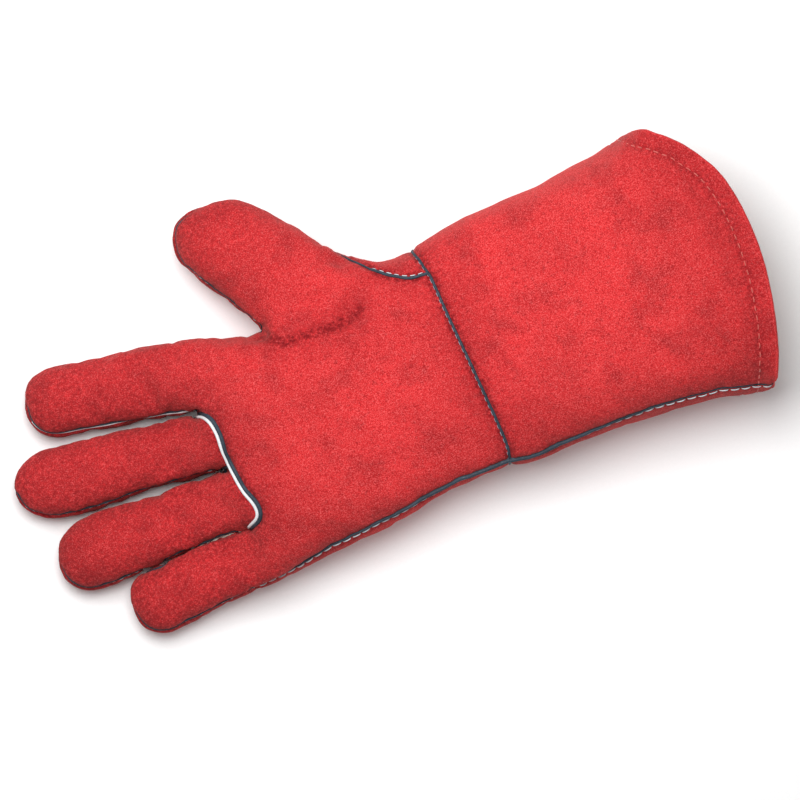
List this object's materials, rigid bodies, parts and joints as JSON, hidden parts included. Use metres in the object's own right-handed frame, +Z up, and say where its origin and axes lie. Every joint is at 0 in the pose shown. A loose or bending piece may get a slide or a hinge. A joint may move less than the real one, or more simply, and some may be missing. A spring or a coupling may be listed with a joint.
{
  "type": "welding glove",
  "caption": "Right-hand long-cuff welding gauntlet of red split suede, lined with cotton, with welted seams, puffed fingers and thumb, and a flared cuff; it bends at the knuckles and wrist.",
  "frame": {"origin": "centre of the bounding box's base, on the surface that the glove lies on", "axes": "+X from the fingers to the cuff's mouth, +Y towards the thumb, +Z up out of the palm"},
  "size_m": [0.3598, 0.1823, 0.0672],
  "materials": {
    "suede": "matt split suede nap",
    "welt": "matt dark slate leather strip",
    "cotton": "brushed cotton fleece"
  },
  "bodies": {
    "hand": {"back_lining": "cotton", "finger_base_welt": "welt", "hand_back_panel": "suede", "hand_side_welt": "welt", "palm_lining": "cotton", "palm_panel": "suede", "thumb_seam_welt": "welt", "wrist_welt": "welt"},
    "cuff": {"cuff_lining": "cotton", "cuff_panel": "suede", "cuff_side_welt": "welt", "hem_facing": "suede"},
    "thumb_near": {"thumb_back_near": "suede", "thumb_front_near": "suede", "thumb_lining_near": "cotton"},
    "thumb_tip": {"thumb_back_tip": "suede", "thumb_front_tip": "suede", "thumb_lining_tip": "cotton", "thumb_tip_welt": "welt"},
    "index_near": {"index_back_near": "suede", "index_front_near": "suede", "index_lining_near": "cotton"},
    "index_tip": {"index_back_tip": "suede", "index_front_tip": "suede", "index_lining_tip": "cotton", "index_tip_welt": "welt"},
    "middle_near": {"middle_back_near": "suede", "middle_front_near": "suede", "middle_lining_near": "cotton"},
    "middle_tip": {"middle_back_tip": "suede", "middle_front_tip": "suede", "middle_lining_tip": "cotton", "middle_tip_welt": "welt"},
    "ring_near": {"ring_back_near": "suede", "ring_front_near": "suede", "ring_lining_near": "cotton"},
    "ring_tip": {"ring_back_tip": "suede", "ring_front_tip": "suede", "ring_lining_tip": "cotton", "ring_tip_welt": "welt"},
    "little_near": {"little_back_near": "suede", "little_front_near": "suede", "little_lining_near": "cotton"},
    "little_tip": {"little_back_tip": "suede", "little_front_tip": "suede", "little_lining_tip": "cotton", "little_tip_welt": "welt"}
  },
  "joints": [
    {"name": "wrist_flex", "type": "hinge", "parent": "hand", "child": "cuff", "pos_m": [0.03384, -0.01593, 0.0503], "axis": [0.0919, -0.9958, 0], "range_deg": [0, 35], "stiffness_Nm_per_rad": 0.3},
    {"name": "thumb_root_flex", "type": "hinge", "parent": "hand", "child": "thumb_near", "pos_m": [-0.02161, 0.0306, 0.0425], "axis": [0.9736, 0.2283, 0], "range_deg": [0, 35], "stiffness_Nm_per_rad": 0.05},
    {"name": "thumb_middle_flex", "type": "hinge", "parent": "thumb_near", "child": "thumb_tip", "pos_m": [-0.03718, 0.04886, 0.03831], "axis": [0.759, 0.651, 0], "range_deg": [0, 45], "stiffness_Nm_per_rad": 0.05},
    {"name": "index_knuckle_flex", "type": "hinge", "parent": "hand", "child": "index_near", "pos_m": [-0.08796, 0.01705, 0.0272], "axis": [0, 1, 0], "range_deg": [0, 60], "stiffness_Nm_per_rad": 0.05},
    {"name": "index_middle_flex", "type": "hinge", "parent": "index_near", "child": "index_tip", "pos_m": [-0.12396, 0.02233, 0.0249], "axis": [0, 1, 0], "range_deg": [0, 70], "stiffness_Nm_per_rad": 0.05},
    {"name": "middle_knuckle_flex", "type": "hinge", "parent": "hand", "child": "middle_near", "pos_m": [-0.08796, -0.01425, 0.0272], "axis": [0, 1, 0], "range_deg": [0, 60], "stiffness_Nm_per_rad": 0.05},
    {"name": "middle_middle_flex", "type": "hinge", "parent": "middle_near", "child": "middle_tip", "pos_m": [-0.13296, -0.0102, 0.0249], "axis": [0, 1, 0], "range_deg": [0, 70], "stiffness_Nm_per_rad": 0.05},
    {"name": "ring_knuckle_flex", "type": "hinge", "parent": "hand", "child": "ring_near", "pos_m": [-0.08796, -0.04225, 0.0272], "axis": [0, 1, 0], "range_deg": [0, 60], "stiffness_Nm_per_rad": 0.05},
    {"name": "ring_middle_flex", "type": "hinge", "parent": "ring_near", "child": "ring_tip", "pos_m": [-0.12996, -0.04342, 0.0245], "axis": [0, 1, 0], "range_deg": [0, 70], "stiffness_Nm_per_rad": 0.05},
    {"name": "little_knuckle_flex", "type": "hinge", "parent": "hand", "child": "little_near", "pos_m": [-0.08796, -0.07095, 0.0272], "axis": [0, 1, 0], "range_deg": [0, 60], "stiffness_Nm_per_rad": 0.05},
    {"name": "little_middle_flex", "type": "hinge", "parent": "little_near", "child": "little_tip", "pos_m": [-0.11696, -0.07403, 0.0233], "axis": [0, 1, 0], "range_deg": [0, 70], "stiffness_Nm_per_rad": 0.05}
  ]
}
